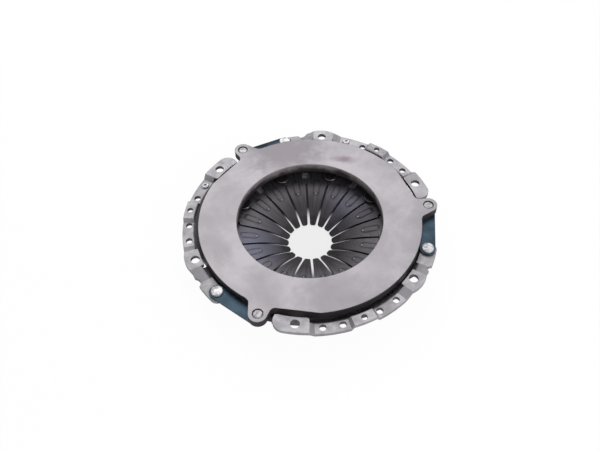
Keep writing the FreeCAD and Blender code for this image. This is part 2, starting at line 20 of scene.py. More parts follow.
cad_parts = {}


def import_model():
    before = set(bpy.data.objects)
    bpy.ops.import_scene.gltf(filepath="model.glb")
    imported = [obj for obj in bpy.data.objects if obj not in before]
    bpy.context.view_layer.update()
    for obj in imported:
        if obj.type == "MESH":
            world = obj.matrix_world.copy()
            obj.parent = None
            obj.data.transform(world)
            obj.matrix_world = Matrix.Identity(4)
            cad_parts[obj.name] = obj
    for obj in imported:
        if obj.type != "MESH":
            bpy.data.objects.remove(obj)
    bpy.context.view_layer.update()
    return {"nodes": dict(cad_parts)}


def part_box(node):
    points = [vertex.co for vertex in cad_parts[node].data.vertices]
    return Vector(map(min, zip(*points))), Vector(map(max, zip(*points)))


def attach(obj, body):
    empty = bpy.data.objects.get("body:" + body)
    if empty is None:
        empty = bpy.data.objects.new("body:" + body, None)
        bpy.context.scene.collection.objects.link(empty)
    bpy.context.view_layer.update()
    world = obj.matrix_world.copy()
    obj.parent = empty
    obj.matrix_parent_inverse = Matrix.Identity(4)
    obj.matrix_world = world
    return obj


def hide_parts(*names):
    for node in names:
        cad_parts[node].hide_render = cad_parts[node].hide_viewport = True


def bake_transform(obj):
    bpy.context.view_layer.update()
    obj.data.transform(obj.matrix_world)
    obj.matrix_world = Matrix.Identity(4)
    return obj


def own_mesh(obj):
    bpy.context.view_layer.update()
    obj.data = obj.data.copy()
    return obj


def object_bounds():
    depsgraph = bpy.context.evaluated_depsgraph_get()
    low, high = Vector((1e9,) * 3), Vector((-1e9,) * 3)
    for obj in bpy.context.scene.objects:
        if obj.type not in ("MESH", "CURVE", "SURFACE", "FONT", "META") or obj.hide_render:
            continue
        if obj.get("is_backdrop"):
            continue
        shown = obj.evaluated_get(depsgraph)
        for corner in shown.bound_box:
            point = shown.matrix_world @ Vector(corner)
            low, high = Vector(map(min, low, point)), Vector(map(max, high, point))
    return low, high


LOG = logging.getLogger("clutch_cover")
MILLIMETRE = 0.001
ARMS = 3
LEAVES = 3
PATTERN_MIDDLE = 0.5
HALF = 0.5

Socket = bpy.types.NodeSocket
Colour = Tuple[float, float, float, float]
Point = Tuple[float, float, float]
Plug = Union[bpy.types.Node, Socket, float, str, Colour, Point, Vector]
Inputs = Dict[Union[int, str], Plug]


class Body(str, Enum):
    """The rigid bodies of the frame."""

    COVER = "cover_assembly"
    PLATE = "pressure_plate"


class Slot(str, Enum):
    """The record's material slots of the pieces that are made here."""

    SPRING = "spring_steel"
    STRAP = "strap_steel"


def srgb(code: str) -> Colour:
    """Turns a hex colour as seen on screen into linear light.

    Args:
        code: Six hex digits with a leading hash.

    Returns:
        Red, green, blue and an alpha of 1.
    """
    channels = [int(code[i:i + 2], 16) / 255 for i in (1, 3, 5)]
    linear = [c / 12.92 if c <= 0.04045 else ((c + 0.055) / 1.055) ** 2.4 for c in channels]
    return (linear[0], linear[1], linear[2], 1.0)


def middle(node: str) -> Vector:
    """Finds the middle of the box of one of the frame's nodes.

    Args:
        node: Name of the node.

    Returns:
        The point.
    """
    low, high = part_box(node)
    return (low + high) / 2


@dataclass(frozen=True)
class Band:
    """A range of a number that is mapped softly onto another range, and held beyond it."""

    low: float
    high: float
    start: float = 0.0
    end: float = 1.0

    def on(self, graph: "Graph", value: Plug) -> bpy.types.Node:
        """Maps a number.

        Args:
            graph: The nodes to add to.
            value: The number.

        Returns:
            The node that gives the mapped number.
        """
        sockets = {"Value": value, "From Min": self.low, "From Max": self.high,
                   "To Min": self.start, "To Max": self.end}
        return graph.add("MapRange", sockets, interpolation_type="SMOOTHSTEP")


class Graph:
    """The shader nodes of one material or world."""

    # Numbers of the Mix node's sockets for colours.
    COLOUR_A = 6
    COLOUR_B = 7
    COLOUR_OUT = 2
    BEVEL_SAMPLES = 6

    # Cosines of the turn from the flat surface to a rounded edge.
    EDGE_LOW = 0.90
    EDGE_HIGH = 0.995

    def __init__(self, owner: Union[bpy.types.Material, bpy.types.World]) -> None:
        """Empties the owner's nodes.

        Args:
            owner: The material or world.
        """
        owner.use_nodes = True
        self.tree = owner.node_tree
        self.tree.nodes.clear()
        self.drawn: Dict["Patches", bpy.types.Node] = {}

    def add(self, kind: str, inputs: Inputs, **settings: object) -> bpy.types.Node:
        """Adds one node with its settings and links.

        Args:
            kind: Blender's node type, without its leading ShaderNode.
            inputs: What goes into its sockets, by name or number: a number, a vector, a hex
                colour, another node's output, or a node, which stands for its first output.
            settings: Attributes of the node.

        Returns:
            The node.
        """
        made = self.tree.nodes.new("ShaderNode" + kind)
        for key, value in settings.items():
            setattr(made, key, value)
        for key, value in inputs.items():
            source = value.outputs[0] if isinstance(value, bpy.types.Node) else value
            if isinstance(source, Socket):
                self.tree.links.new(source, made.inputs[key])
            else:
                made.inputs[key].default_value = srgb(source) if isinstance(source, str) else source
        return made

    def place(self) -> Socket:
        """Returns the point on the object, in metres, in the frame of the part."""
        return self.add("TexCoord", {}).outputs["Object"]

    def normal(self) -> Socket:
        """Returns the direction that the surface faces."""
        return self.add("NewGeometry", {}).outputs["Normal"]

    def upward(self) -> Socket:
        """Returns how far the surface faces +Z, from -1 to 1."""
        return self.add("SeparateXYZ", {0: self.normal()}).outputs["Z"]

    def polar(self) -> Tuple[Socket, Socket, Socket]:
        """Finds where the point on the object lies about the clutch's axis.

        Returns:
            Radius in metres, angle in radians and level in metres.
        """
        parts = self.add("SeparateXYZ", {0: self.place()})
        x, y, level = parts.outputs
        flat = self.add("CombineXYZ", {0: x, 1: y})
        radius = self.add("VectorMath", {0: flat}, operation="LENGTH").outputs["Value"]
        angle = self.add("Math", {0: y, 1: x}, operation="ARCTAN2").outputs[0]
        return radius, angle, level

    def away_from(self, point: Point, place: Optional[Plug] = None) -> Socket:
        """Measures the distance from a point.

        Args:
            point: The point, in metres.
            place: Where to measure from, if it isn't the point on the object itself.

        Returns:
            The distance, in metres.
        """
        ends = {0: self.place() if place is None else place, 1: point}
        return self.add("VectorMath", ends, operation="DISTANCE").outputs["Value"]

    def read(self, pattern: "Patches") -> bpy.types.Node:
        """Gives the node that draws a pattern, which is made once in each material.

        Args:
            pattern: The pattern.

        Returns:
            The node, whose number stays between about 0.3 and 0.7.
        """
        if pattern not in self.drawn:
            self.drawn[pattern] = pattern.draw(self)
        return self.drawn[pattern]

    def lay(self, under: Plug, over: Plug, value: Plug, band: Band) -> Socket:
        """Lays one colour over another where a number says so.

        Args:
            under: The colour below.
            over: The colour on top.
            value: The number.
            band: Turns the number into the share of the colour on top.

        Returns:
            The colour.
        """
        sockets = {0: band.on(self, value), self.COLOUR_A: under, self.COLOUR_B: over}
        return self.add("Mix", sockets, data_type="RGBA").outputs[self.COLOUR_OUT]

    def coats(self, under: Plug, layers: Tuple["Layer", ...]) -> Plug:
        """Lays patterned colours over one another.

        Args:
            under: The lowest colour.
            layers: What lies on it, from below.

        Returns:
            The colour.
        """
        for layer in layers:
            under = self.lay(under, layer.colour, self.read(layer.pattern), layer.band)
        return under

    def worn(self, under: Plug, rubbed_and_glint: str, reach: float, share: float) -> Socket:
        """Rubs the outer edges bright, as handling does.

        Args:
            under: The colour below.
            rubbed_and_glint: Colour of the rubbed edges; on the bright steel it is partly a painted
                highlight.
            reach: How far it reaches from an edge, in millimetres.
            share: How much of it there is at the edge itself.

        Returns:
            The colour.
        """
        rounded = self.add("Bevel", {"Radius": reach * MILLIMETRE}, samples=self.BEVEL_SAMPLES)
        turned = self.add("VectorMath", {0: rounded, 1: self.normal()}, operation="DOT_PRODUCT")
        edge = Band(self.EDGE_LOW, self.EDGE_HIGH, share, 0.0)
        return self.lay(under, rubbed_and_glint, turned.outputs["Value"], edge)


@dataclass(frozen=True)
class Patches:
    """An irregular pattern, such as clouds, scuffs or grain, that runs alike in all directions."""

    size: float
    detail: float = 3.0
    crispness: float = 0.55
    stir: float = 0.0

    def draw(self, graph: Graph) -> bpy.types.Node:
        """Adds the pattern to a material.

        Args:
            graph: The material's nodes.

        Returns:
            The node that gives the pattern's number.
        """
        where, scale = self.coordinates(graph)
        return graph.add("TexNoise", {"Vector": where, "Scale": scale, "Detail": self.detail,
                                      "Roughness": self.crispness, "Distortion": self.stir})

    def coordinates(self, graph: Graph) -> Tuple[Plug, float]:
        """Returns where the pattern is read, and how many patches there are to a unit of it."""
        return graph.place(), 1 / (self.size * MILLIMETRE)


@dataclass(frozen=True)
class RoundPatches(Patches):
    """A pattern in rings or spokes about the clutch's axis.

    Its size is measured along the radius, and it has a number of patches to a radian.
    """

    per_radian: float = 1.0

    def coordinates(self, graph: Graph) -> Tuple[Plug, float]:
        """Turns the point on the object into patches along the radius and round the axis.

        Args:
            graph: The material's nodes.

        Returns:
            Where the pattern is read, in patches, and a scale of 1.
        """
        radius, angle, _ = graph.polar()
        out = graph.add("Math", {0: radius, 1: 1 / (self.size * MILLIMETRE)}, operation="MULTIPLY")
        turn = graph.add("Math", {0: angle, 1: self.per_radian}, operation="MULTIPLY")
        return graph.add("CombineXYZ", {0: out, 1: turn}), 1.0


@dataclass(frozen=True)
class Layer:
    """A colour that shows where a pattern's number lies in a band."""

    colour: str
    pattern: Patches
    band: Band


@dataclass(frozen=True)
class StainsAndShade:
    """Stains, smears, films and patches of painted shade, each of one colour with ragged,
    soft edges.

    Each spot has the X and Y of its middle, its radius and its strength. The core is the share of
    the radius at full strength, and a spot is squeezed so many times along Y.
    """

    colour: str
    level: float
    spots: Tuple[Tuple[float, float, float, float], ...]
    core: float = 0.2
    squeeze: float = 1.0
    ragged: Patches = Patches(11.1)

    def over(self, graph: Graph, under: Plug) -> Plug:
        """Lays the spots over a colour.

        Args:
            graph: The material's nodes.
            under: The colour below.

        Returns:
            The colour.
        """
        squeezed = graph.add("VectorMath", {0: graph.place(), 1: (1.0, self.squeeze, 1.0)},
                             operation="MULTIPLY")
        for x, y, radius, strength in self.spots:
            away = graph.away_from((x, y * self.squeeze, self.level), squeezed)
            far = graph.add("Math", {0: graph.read(self.ragged), 1: radius, 2: away},
                            operation="MULTIPLY_ADD")
            full = (self.core + PATTERN_MIDDLE) * radius
            none = (1.0 + PATTERN_MIDDLE) * radius
            under = graph.lay(under, self.colour, far, Band(full, none, strength, 0.0))
        return under


@dataclass(frozen=True)
class Finish:
    """What all the clutch's metals share.

    The gloss maps a pattern's number to roughness. The relief's depth and the rounding of the
    edges are in millimetres. Bare is the share of the surface that shows bare metal, and the rest
    is skin, oil or phosphate.
    """

    name: str
    gloss: Band
    depth: float
    rounding: float
    bare: float

    def make(self) -> bpy.types.Material:
        """Makes the material.

        Returns:
            The material.
        """
        material = bpy.data.materials.new(self.name)
        graph = Graph(material)
        colour, roughness, height = self.surface(graph)
        rounded = graph.add("Bevel", {"Radius": self.rounding * MILLIMETRE}, samples=graph.BEVEL_SAMPLES)
        relief = graph.add("Bump", {"Height": height, "Distance": self.depth * MILLIMETRE,
                                    "Normal": rounded})
        metal = graph.add("BsdfPrincipled", {"Base Color": colour, "Roughness": roughness,
                                             "Metallic": self.bare, "Normal": relief})
        graph.add("OutputMaterial", {"Surface": metal})
        return material

    def surface(self, graph: Graph) -> Tuple[Plug, Plug, Plug]:
        """Returns the colour, the roughness and the height of the relief, from 0 to 1."""
        raise NotImplementedError


@dataclass(frozen=True)
class GroundIron(Finish):
    """The friction ring's grey cast iron, ground on its face and as cast elsewhere.

    To the eye the face is pale and satin, with rings from the tool, cloudy patches, a few rubbed
    smears and one reddish stain; broad darker patches at its top and front are painted shade. The
    skin from the mould is coarse and dark, painted nearly black as shade on the walls round the
    ring, and the wall of the bore is painted pale at the face, fading to dark shade below. The
    real tool marks are finer than the rings here, which are drawn as coarse as they need to show.
    """

    name: str = "ground_iron"
    gloss: Band = Band(0.80, 0.95, 0.62, 0.40)
    depth: float = 0.03
    rounding: float = 0.5
    bare: float = 0.45
    face_level: float = 0.0044
    face: str = "#a9a5a9"
    # Dark cast skin, painted darker still as shade on the walls round the ring.
    dark_skin_and_shade: str = "#302e30"
    seat: str = "#a8a3a7"
    cloud: Patches = Patches(41.7, 4.0, 0.6, 0.4)
    rings: Patches = RoundPatches(0.385)
    speck: Patches = Patches(1.11, 2.0)
    sand: Patches = Patches(0.714, 3.0, 0.7)
    face_layers: Tuple[Layer, ...] = (
        Layer("#949094", cloud, Band(0.35, 0.68)),
        Layer("#928d91", Patches(90.9, 3.0, 0.5, 0.8), Band(0.45, 0.62, 0.0, 0.20)),
        Layer("#8c888c", rings, Band(0.35, 0.65, 0.0, 0.22)),
    )
    stain: StainsAndShade = StainsAndShade("#75636b", face_level, (
        (0.0400, 0.0800, 0.015, 0.45),
        (0.0478, 0.0776, 0.014, 0.75),
        (0.0560, 0.0742, 0.014, 0.40),
    ), core=0.1, squeeze=2.2)
    # Painted shade: the large soft spots darken the face's top and front; the small ones are rubbed
    # smears.
    smears_and_shade: StainsAndShade = StainsAndShade("#7f7a7e", face_level, (
        (-0.098, -0.036, 0.022, 0.16),
        (-0.055, -0.083, 0.034, 0.26),
        (0.010, -0.100, 0.050, 0.50),
        (-0.015, 0.104, 0.066, 1.00),
        (0.086, -0.006, 0.014, 0.16),
        (-0.090, 0.020, 0.012, 0.12),
    ))
    skin_layers: Tuple[Layer, ...] = (Layer("#403d40", cloud, Band(0.35, 0.65)),)
    facing: Band = Band(0.80, 0.95)
    bore: Band = Band(0.0768, 0.0780, 1.0, 0.0)
    # Painted light and shade in the bore: pale where lit near the face, dark shade lower down.
    bore_shade_fade: Band = Band(-0.0050, 0.0045)
    bore_shade: str = "#3d393c"
    bore_lit: str = "#b5acae"
    bore_patch: Patches = Patches(18.2)
    bore_patch_lift: float = 0.016
    rivet_seat: Band = Band(0.0070, 0.0075, 1.0, 0.0)

    def surface(self, graph: Graph) -> Tuple[Plug, Plug, Plug]:
        """Draws the surface.

        Args:
            graph: The material's nodes.

        Returns:
            The colour, the roughness and the height of the relief, from 0 to 1.
        """
        upward = graph.upward()
        face = graph.coats(self.face, self.face_layers)
        face = self.smears_and_shade.over(graph, self.stain.over(graph, face))
        colour = graph.lay(self._as_cast(graph), face, upward, self.facing)
        colour = graph.worn(colour, "#b9b5b8", reach=0.6, share=0.25)
        ground = graph.add("Mix", {0: HALF, 2: graph.read(self.rings), 3: graph.read(self.speck)})
        is_face = self.facing.on(graph, upward)
        height = graph.add("Mix", {0: is_face, 2: graph.read(self.sand), 3: ground})
        return colour, self.gloss.on(graph, upward), height

    def _as_cast(self, graph: Graph) -> Plug:
        """Colours the walls: the mould's skin with painted shade, the bore's wall painted lit at the
        face and shaded below, and the lug rivets' seats.

        Args:
            graph: The material's nodes.

        Returns:
            The colour.
        """
        radius, _, level = graph.polar()
        off_middle = graph.add("Math", {0: graph.read(self.bore_patch), 1: PATTERN_MIDDLE},
                               operation="SUBTRACT")
        ragged_level = graph.add("Math", {0: off_middle, 1: self.bore_patch_lift, 2: level},
                                 operation="MULTIPLY_ADD")
        # Painted shade: the bore's wall darkens from the face downwards.
        wall = graph.lay(self.bore_shade, self.bore_lit, ragged_level, self.bore_shade_fade)
        colour = graph.lay(graph.coats(self.dark_skin_and_shade, self.skin_layers), wall, radius, self.bore)
        for number in range(1, ARMS + 1):
            hole = middle(f"strap_lug_rivet_{number}")
            colour = graph.lay(colour, self.seat, graph.away_from(hole), self.rivet_seat)
        return colour


@dataclass(frozen=True)
class PhosphatedSteel(Finish):
    """The cover's deep-drawn sheet steel under a thin phosphate coat.

    To the eye it is an even, satin mid grey with faint clouds, light scuffs, dark rub marks and
    tiny specks. Its upright walls inside the flange, the holes' walls among them, are painted
    dark as shade.
    """

    name: str = "pressed_steel"
    gloss: Band = Band(0.30, 0.70, 0.42, 0.56)
    depth: float = 0.04
    rounding: float = 0.6
    bare: float = 0.45
    coat: str = "#aeabaf"
    # Painted shade on the upright walls inside the flange, the holes' walls among them.
    wall_shade: str = "#3c3a3c"
    cloud: Patches = Patches(16.7, 5.0, 0.65, 0.3)
    scuff: Patches = Patches(4.35, 4.0, 0.7, 1.2)
    speck: Patches = Patches(0.667, 2.0)
    pebble: Patches = Patches(2.0, 3.0, 0.6)
    pebble_and_speck: float = 0.4
    layers: Tuple[Layer, ...] = (
        Layer("#979498", cloud, Band(0.32, 0.70)),
        Layer("#d8d7d8", scuff, Band(0.58, 0.70, 0.0, 0.35)),
        Layer("#6b686c", scuff, Band(0.30, 0.42, 0.30, 0.0)),
        Layer("#b4b2b4", speck, Band(0.40, 0.75, 0.0, 0.25)),
    )
    inner_flange: Band = Band(0.1290, 0.1300, 0.75, 0.0)
    lying: Band = Band(0.15, 0.45)

    def surface(self, graph: Graph) -> Tuple[Plug, Plug, Plug]:
        """Draws the surface.

        Args:
            graph: The material's nodes.

        Returns:
            The colour, the roughness and the height of the relief, from 0 to 1.
        """
        coat = graph.coats(self.coat, self.layers)
        coat = graph.worn(coat, "#c2c0c2", reach=0.7, share=0.45)
        radius, _, _ = graph.polar()
        # Painted shade: darkens the upright walls inside the flange.
        wall_shade = graph.lay(coat, self.wall_shade, radius, self.inner_flange)
        lying = graph.add("Math", {0: graph.upward()}, operation="ABSOLUTE")
        colour = graph.lay(wall_shade, coat, lying, self.lying)
        height = graph.add("Mix", {0: self.pebble_and_speck, 2: graph.read(self.pebble),
                                   3: graph.read(self.speck)})
        return colour, self.gloss.on(graph, graph.read(self.cloud)), height


@dataclass(frozen=True)
class SpringShape:
    """Sizes of the diaphragm spring, in metres and radians."""

    rim_radius: float = 0.107
    tip_radius: float = 0.023
    thickness: float = 0.0025
    cone: float = math.radians(11.3)
    bend_start: float = 0.062
    bend_end: float = 0.031
    bend_radius: float = 0.106
    fingers: int = 18
    phase: float = math.radians(-3.9)
    slot_tip: float = 0.00125
    slot_root: float = 0.00095
    corner: float = 0.0018
    window_inner: float = 0.0756
    window_outer: float = 0.0834
    window_half: float = 0.0043
    window_corner: float = 0.0022
    bead_half: float = 0.0032
    # The source has 0.8 mm. The light of the photograph hides more of it than the studio does.
    bead_height: float = 0.0005
    bead_inner: float = 0.0555
    bead_outer: float = 0.0737
    bead_slope: float = 0.0011

    def level(self, radius: float, rim_level: float) -> float:
        """Level of the upper surface.

        Args:
            radius: Distance from the axis.
            rim_level: Level of the upper surface at the rim.

        Returns:
            The level, without the bead.
        """
        slope = math.tan(self.cone)
        if radius >= self.bend_start:
            return rim_level - (self.rim_radius - radius) * slope
        start_level = rim_level - (self.rim_radius - self.bend_start) * slope
        centre = start_level - self.bend_radius * math.cos(self.cone)
        reach = math.sin(self.cone) + (self.bend_start - max(radius, self.bend_end)) / self.bend_radius
        turn = math.asin(reach)
        bent = centre + self.bend_radius * math.cos(turn)
        return bent - max(0.0, self.bend_end - radius) * math.tan(turn)

    def gap(self, radius: float) -> float:
        """Half the width of the slot or window between two fingers.

        Args:
            radius: Distance from the axis.

        Returns:
            Half the gap, across the slot.
        """
        mouth = self.tip_radius + self.corner
        if radius < mouth:
            wide = self.slot_tip + self.corner
            return wide - math.sqrt(max(0.0, self.corner ** 2 - (mouth - radius) ** 2))
        if radius < self.window_inner:
            share = (radius - mouth) / (self.window_inner - mouth)
            return self.slot_tip + (self.slot_root - self.slot_tip) * share
        if radius > self.window_outer:
            return 0.0
        side = self.window_half - self.window_corner
        low = self.window_inner + self.window_corner
        high = self.window_outer - self.window_corner
        past = max(0.0, low - radius, radius - high)
        return side + math.sqrt(max(0.0, self.window_corner ** 2 - past ** 2))

    def bead(self, radius: float, across: float) -> float:
        """Height of the pressed bead over the finger.

        Args:
            radius: Distance from the axis.
            across: Distance from the finger's middle line.

        Returns:
            The height.
        """
        nose = self.bead_inner + self.bead_half
        inward = max(0.0, nose - radius)
        away = math.hypot(inward, across) - self.bead_half
        side = min(1.0, max(0.0, 0.5 - away / self.bead_slope))
        fade = min(1.0, max(0.0, (self.bead_outer - radius) / (2 * self.bead_slope)))
        share = side * fade
        return self.bead_height * share * share * (3 - 2 * share)

    def fulcrum_radius(self) -> float:
        """Radius of the circle that the spring tilts about, in the middle of the windows."""
        return (self.window_inner + self.window_outer) / 2

    def middle_line(self, number: int) -> float:
        """Angle of the middle line of the finger with a number from 0."""
        return self.phase + number * math.tau / self.fingers


@dataclass(frozen=True)
class TemperedSpringSteel(Finish):
    """The diaphragm spring's carbon steel, hardened, tempered, peened and oiled.

    To the eye it is dark and half glossy, with streaks along the fingers, tiny peening specks, a
    blue temper film on some fingers, painted shade on the right-hand fingers, dark tips, and
    painted glints as bright spots on the noses of the beads.
    """

    name: str = "tempered_spring_steel"
    gloss: Band = Band(0.30, 0.70, 0.34, 0.46)
    depth: float = 0.03
    rounding: float = 0.3
    bare: float = 0.85
    shape: SpringShape = SpringShape()
    steel: str = "#4a474b"
    streak: Patches = RoundPatches(37.0, 2.5, 0.45, 0.1, per_radian=30.6)
    speck: Patches = Patches(0.625, 2.0)
    peening: Patches = Patches(1.43, 3.0, 0.6)
    streaks: Tuple[Layer, ...] = (Layer("#5c595d", streak, Band(0.33, 0.68)),)
    specks: Tuple[Layer, ...] = (Layer("#7b787e", speck, Band(0.45, 0.75, 0.0, 0.20)),)
    films_and_shade: Tuple[StainsAndShade, ...] = (
        StainsAndShade("#5b5c6f", -0.030, ((-0.057, -0.010, 0.038, 0.50),), core=0.316),
        StainsAndShade("#57576a", -0.030, ((0.046, 0.030, 0.038, 0.35),), core=0.316),
        # Painted shade: darkens the fingers on the right-hand side.
        StainsAndShade("#2f2d30", -0.030, ((0.060, 0.010, 0.038, 0.62), (0.048, -0.036, 0.038, 0.45)),
                  core=0.316),
    )
    # Painted glints: bright spots on the noses of the beads.
    rubbed_and_glint: str = "#c9c7cc"
    nose: Band = Band(0.0003, 0.0012, 0.60, 0.0)
    nose_inset: float = 0.0006
    dark: str = "#302e30"
    tips: Band = Band(0.0310, 0.0335, 0.40, 0.0)

    def surface(self, graph: Graph) -> Tuple[Plug, Plug, Plug]:
        """Draws the surface.

        Args:
            graph: The material's nodes.

        Returns:
            The colour, the roughness and the height of the relief, from 0 to 1.
        """
        colour = graph.coats(self.steel, self.streaks)
        for tint in self.films_and_shade:
            colour = tint.over(graph, colour)
        colour = graph.coats(colour, self.specks)
        # Painted glint on the nose of each bead.
        colour = graph.lay(colour, self.rubbed_and_glint, self._from_nose(graph), self.nose)
        radius, _, _ = graph.polar()
        colour = graph.lay(colour, self.dark, radius, self.tips)
        height = graph.add("Mix", {0: HALF, 2: graph.read(self.peening), 3: graph.read(self.speck)})
        return colour, self.gloss.on(graph, graph.read(self.streak)), height

    def _from_nose(self, graph: Graph) -> Socket:
        """Measures the distance from the nose of the nearest bead.

        Args:
            graph: The material's nodes.

        Returns:
            The distance, in metres.
        """
        radius, angle, _ = graph.polar()
        step = math.tau / self.shape.fingers
        turned = graph.add("Math", {0: angle, 1: self.shape.phase}, operation="SUBTRACT")
        steps = graph.add("Math", {0: turned, 1: 1 / step}, operation="MULTIPLY")
        off_middle = graph.add("Math", {0: steps, 1: HALF}, operation="PINGPONG")
        arc = step * self.shape.bead_inner
        across = graph.add("Math", {0: off_middle, 1: arc}, operation="MULTIPLY")
        nose_radius = self.shape.bead_inner + self.nose_inset
        along = graph.add("Math", {0: radius, 1: nose_radius}, operation="SUBTRACT")
        return graph.away_from((0.0, 0.0, 0.0), graph.add("CombineXYZ", {0: across, 1: along}))


@dataclass(frozen=True)
class BluedStrip(Finish):
    """The straps' cold-rolled spring strip, tempered blue-black.

    To the eye it is a smooth, dark slate blue with soft clouds and lighter edges.
    """

    name: str = "blued_strip"
    gloss: Band = Band(0.35, 0.65, 0.30, 0.42)
    depth: float = 0.01
    rounding: float = 0.2
    bare: float = 0.85
    blue: str = "#2b3942"
    cloud: Patches = Patches(14.3, 3.0, 0.5)
    rolled: Patches = Patches(1.11, 2.0)
    layers: Tuple[Layer, ...] = (Layer("#3f515e", cloud, Band(0.35, 0.65)),)

    def surface(self, graph: Graph) -> Tuple[Plug, Plug, Plug]:
        """Draws the surface.

        Args:
            graph: The material's nodes.

        Returns:
            The colour, the roughness and the height of the relief, from 0 to 1.
        """
        colour = graph.coats(self.blue, self.layers)
        colour = graph.worn(colour, "#8b9aa3", reach=0.3, share=0.40)
        return colour, self.gloss.on(graph, graph.read(self.cloud)), graph.read(self.rolled)


@dataclass(frozen=True)
class BrightSteel(Finish):
    """Cold-headed rivets, turned pins and drawn wire of plain low-carbon steel.

    To the eye the rivets are the brightest metal here, with duller patches, while the pins and
    the wire are dark with oil. Rims and edges are drawn bright, partly as polish from the tool
    that closed them and partly as a painted highlight.
    """

    depth: float = 0.02
    rounding: float = 0.4
    bare: float = 0.55
    clean: str = "#cfced0"
    dull: str = "#949395"
    cloud: Patches = Patches(3.85, 4.0, 0.6)
    grain: Patches = Patches(0.909, 2.0)

    def surface(self, graph: Graph) -> Tuple[Plug, Plug, Plug]:
        """Draws the surface.

        Args:
            graph: The material's nodes.

        Returns:
            The colour, the roughness and the height of the relief, from 0 to 1.
        """
        colour = graph.coats(self.clean, (Layer(self.dull, self.cloud, Band(0.35, 0.68)),))
        # Bright edges: rubbed metal and partly a painted highlight on the rims.
        colour = graph.worn(colour, "#e4e2e5", reach=0.6, share=0.70)
        return colour, self.gloss.on(graph, graph.read(self.cloud)), graph.read(self.grain)


class RigidPieces:
    """The frame's own nodes that stay as they are and only need a finish."""

    RIVET = BrightSteel("rivet_steel", Band(0.35, 0.65, 0.34, 0.48))
    FINISHES: Dict[str, Finish] = {
        "cover": PhosphatedSteel(),
        "pressure_ring": GroundIron(),
        "balance_rivet": RIVET,
        "strap_cover_rivet": RIVET,
        "strap_lug_rivet": BrightSteel("lug_rivet_steel", Band(0.35, 0.65, 0.36, 0.50),
                                       bare=0.45, clean="#b8b5b7", dull="#918e91"),
        "fulcrum_pin": BrightSteel("pin_steel", Band(0.35, 0.65, 0.28, 0.42),
                                   bare=0.85, clean="#555356", dull="#434144"),
        "fulcrum_wire": BrightSteel("wire_steel", Band(0.35, 0.65, 0.30, 0.40),
                                    bare=0.85, clean="#868488", dull="#6c6a6e"),
    }

    def dress(self, nodes: Dict[str, bpy.types.Object]) -> List[bpy.types.Object]:
        """Gives the nodes their finishes.

        Args:
            nodes: The frame's nodes by name.

        Returns:
            The nodes that were dressed.
        """
        materials = {finish: finish.make() for finish in dict.fromkeys(self.FINISHES.values())}
        dressed = []
        for name, piece in nodes.items():
            finish = self.FINISHES.get(name.rstrip("_0123456789"))
            if finish is None:
                continue
            for place in piece.material_slots:
                place.material = materials[finish]
            dressed.append(piece)
        return dressed


class MeshWorks:
    """Makes and finishes the scene's own meshes."""

    @staticmethod
    def make(name: str, shape: bmesh.types.BMesh, material: bpy.types.Material) -> bpy.types.Object:
        """Turns a bmesh into an object of the scene.

        Args:
            name: Name of the object.
            shape: The shape, which is freed.
            material: Material of the whole object.

        Returns:
            The new object.
        """
        mesh = bpy.data.meshes.new(name)
        shape.to_mesh(mesh)
        shape.free()
        mesh.materials.append(material)
        made = bpy.data.objects.new(name, mesh)
        bpy.context.scene.collection.objects.link(made)
        return made

    @staticmethod
    def apply_modifiers(obj: bpy.types.Object, sharp: float) -> None:
        """Bakes an object's modifiers into its mesh and shades it smooth.

        Args:
            obj: The object.
            sharp: Angle between faces above which an edge stays sharp, in degrees.
        """
        graph = bpy.context.evaluated_depsgraph_get()
        baked = bpy.data.meshes.new_from_object(obj.evaluated_get(graph))
        obj.modifiers.clear()
        obj.data = baked
        MeshWorks.shade(obj, sharp)

    @staticmethod
    def shade(obj: bpy.types.Object, sharp: float) -> None:
        """Shades an object smooth.

        Args:
            obj: The object.
            sharp: Angle between faces above which an edge stays sharp, in degrees.
        """
        obj.data.shade_smooth()
        obj.data.set_sharp_from_angle(angle=math.radians(sharp))

    @staticmethod
    def clean(obj: bpy.types.Object, smallest: float) -> None:
        """Takes slivers and doubled corners out of an object's mesh.

        Args:
            obj: The object.
            smallest: Length below which an edge is closed up, in metres.
        """
        shape = bmesh.new()
        shape.from_mesh(obj.data)
        bmesh.ops.remove_doubles(shape, verts=shape.verts, dist=smallest)
        bmesh.ops.dissolve_degenerate(shape, edges=shape.edges, dist=smallest)
        shape.to_mesh(obj.data)
        shape.free()

    @staticmethod
    def bevelled(obj: bpy.types.Object, width: float, segments: int, limit: float) -> None:
        """Adds real rounded edges.

        Args:
            obj: The object.
            width: Width of the rounding, in metres.
            segments: Number of steps round it.
            limit: Angle between faces above which an edge is rounded, in degrees.
        """
        bevel = obj.modifiers.new("rounding", "BEVEL")
        bevel.width = width
        bevel.segments = segments
        bevel.limit_method = "ANGLE"
        bevel.angle_limit = math.radians(limit)


